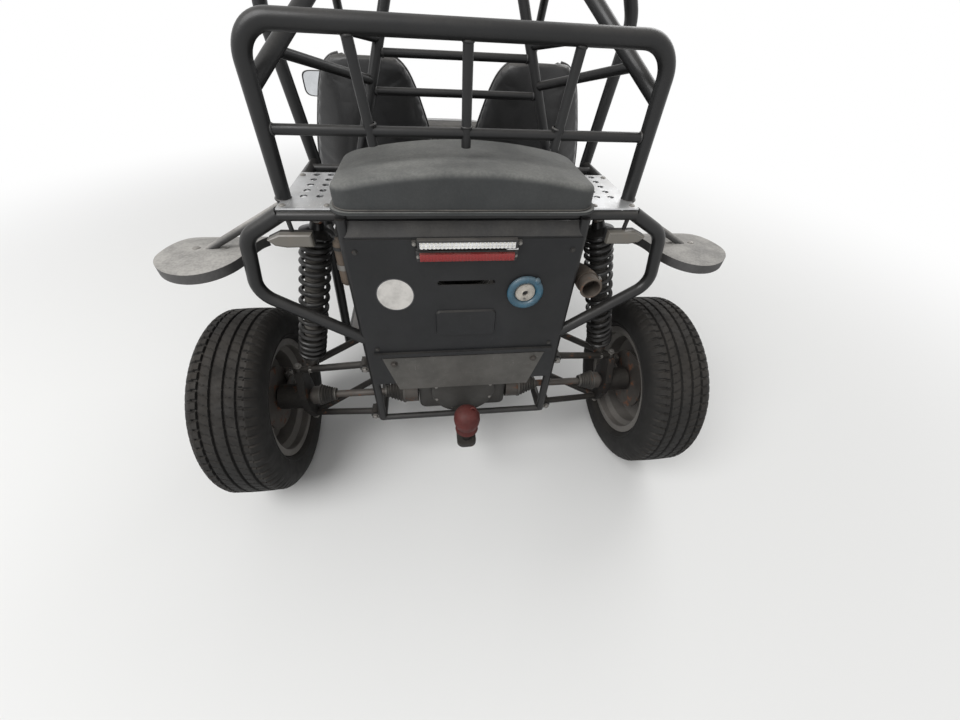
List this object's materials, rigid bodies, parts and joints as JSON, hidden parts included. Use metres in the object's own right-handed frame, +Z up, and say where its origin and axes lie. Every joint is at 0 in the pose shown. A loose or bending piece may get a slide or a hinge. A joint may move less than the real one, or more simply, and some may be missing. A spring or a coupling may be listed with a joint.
{
  "type": "two-seat dune buggy",
  "caption": "Two-seat rear-engined dune buggy: open tube cage, coil-over double wishbones, moulded engine cover, tail panel with lamps, tow ball; wheels roll and the front pair steers.",
  "frame": {"origin": "on the floor under the middle of the whole vehicle's box", "axes": "+X to the vehicle's right, +Y forward, +Z up"},
  "size_m": [1.482, 2.6579, 1.45],
  "materials": {
    "tube_black": "satin black paint on steel tube",
    "panel_black": "matt black sheet, dusty",
    "cover_grey": "dark grey grained moulding",
    "deck_alloy": "worn bright sheet",
    "plate_grey": "dull grey sheet, scratched",
    "suspension": "black paint with rust at the ends",
    "spring_black": "satin black spring",
    "tyre": "dusty road tyre",
    "rim_steel": "dusty silver paint",
    "shaft_steel": "bare steel, rusty",
    "engine_alloy": "dull cast alloy",
    "exhaust_steel": "heat-browned steel",
    "mudguard": "black moulding under pale dust",
    "seat_vinyl": "black vinyl",
    "dash_black": "grained black moulding",
    "hood_black": "black moulding",
    "floor_alloy": "dull sheet",
    "rubber": "black rubber",
    "cap_red": "dark red soft cover",
    "lamp_red": "red lens",
    "lamp_clear": "clear lens",
    "lamp_amber": "pale amber lens, dusty",
    "disc_blue": "blue ring round a grey face",
    "mirror_black": "black shell"
  },
  "bodies": {
    "root": {"floor_frame": "tube_black", "main_hoop": "tube_black", "cage_sides": "tube_black", "cage_bars": "tube_black", "door_bars": "tube_black", "nose_frame": "tube_black", "rear_frame": "tube_black", "rear_stays": "tube_black", "tail_hoop": "tube_black", "outer_stays": "tube_black", "side_guards": "tube_black", "front_bumper": "tube_black", "floor_pan": "floor_alloy", "seats": "seat_vinyl", "dashboard": "dash_black", "steering_column": "tube_black", "pedals": "shaft_steel", "mirrors": "mirror_black", "rear_arms": "suspension", "rear_hub_carriers": "suspension", "rear_shocks": "spring_black", "engine_block": "engine_alloy", "exhaust": "exhaust_steel", "front_arms": "suspension", "front_shocks": "spring_black", "tail_panel": "panel_black", "plate_panel": "plate_grey", "engine_cover": "cover_grey", "deck_plates": "deck_alloy", "rear_mudguards": "mudguard", "rear_indicators": "lamp_amber", "light_strip": "lamp_clear", "red_lamp": "lamp_red", "tail_disc": "disc_blue", "tow_hitch": "suspension", "ball_cap": "cap_red", "headlights": "lamp_clear", "nose_body": "hood_black"},
    "rack": {"steering_rack": "shaft_steel"},
    "steering_wheel": {"steering_wheel": "rubber"},
    "wheel_rear_left": {"tyre_rear_left": "tyre", "rim_rear_left": "rim_steel", "half_shaft_left": "shaft_steel"},
    "knuckle_left": {"knuckle_left": "suspension", "front_mudguard_left": "mudguard"},
    "wheel_front_left": {"tyre_front_left": "tyre", "rim_front_left": "rim_steel", "front_brake_left": "shaft_steel"},
    "wheel_rear_right": {"tyre_rear_right": "tyre", "rim_rear_right": "rim_steel", "half_shaft_right": "shaft_steel"},
    "knuckle_right": {"knuckle_right": "suspension", "front_mudguard_right": "mudguard"},
    "wheel_front_right": {"tyre_front_right": "tyre", "rim_front_right": "rim_steel", "front_brake_right": "shaft_steel"}
  },
  "joints": [
    {"name": "roll_rear_left", "type": "hinge", "parent": "root", "child": "wheel_rear_left", "pos_m": [-0.646, -1.027, 0.298], "axis": [1, 0, 0], "continuous": true},
    {"name": "roll_rear_right", "type": "hinge", "parent": "root", "child": "wheel_rear_right", "pos_m": [0.646, -1.027, 0.298], "axis": [1, 0, 0], "continuous": true},
    {"name": "steer_left", "type": "hinge", "parent": "root", "child": "knuckle_left", "pos_m": [-0.53, 0.873, 0.275], "axis": [0, 0, 1], "range_deg": [-30, 30]},
    {"name": "roll_front_left", "type": "hinge", "parent": "knuckle_left", "child": "wheel_front_left", "pos_m": [-0.6, 0.873, 0.275], "axis": [1, 0, 0], "continuous": true},
    {"name": "steer_right", "type": "hinge", "parent": "root", "child": "knuckle_right", "pos_m": [0.53, 0.873, 0.275], "axis": [0, 0, 1], "range_deg": [-30, 30]},
    {"name": "roll_front_right", "type": "hinge", "parent": "knuckle_right", "child": "wheel_front_right", "pos_m": [0.6, 0.873, 0.275], "axis": [1, 0, 0], "continuous": true},
    {"name": "rack_slide", "type": "slide", "parent": "root", "child": "rack", "axis": [1, 0, 0], "range_m": [-0.053, 0.053]},
    {"name": "steering_turn", "type": "hinge", "parent": "root", "child": "steering_wheel", "pos_m": [-0.265, 0.103, 0.85], "axis": [0, -0.788, 0.6157], "range_deg": [-271, 271]}
  ],
  "couplings": [
    {"joint": "steer_right", "follows": "steer_left", "ratio": 1},
    {"joint": "rack_slide", "follows": "steer_left", "m_per_rad": 0.1},
    {"joint": "steering_turn", "follows": "steer_left", "ratio": 9}
  ]
}
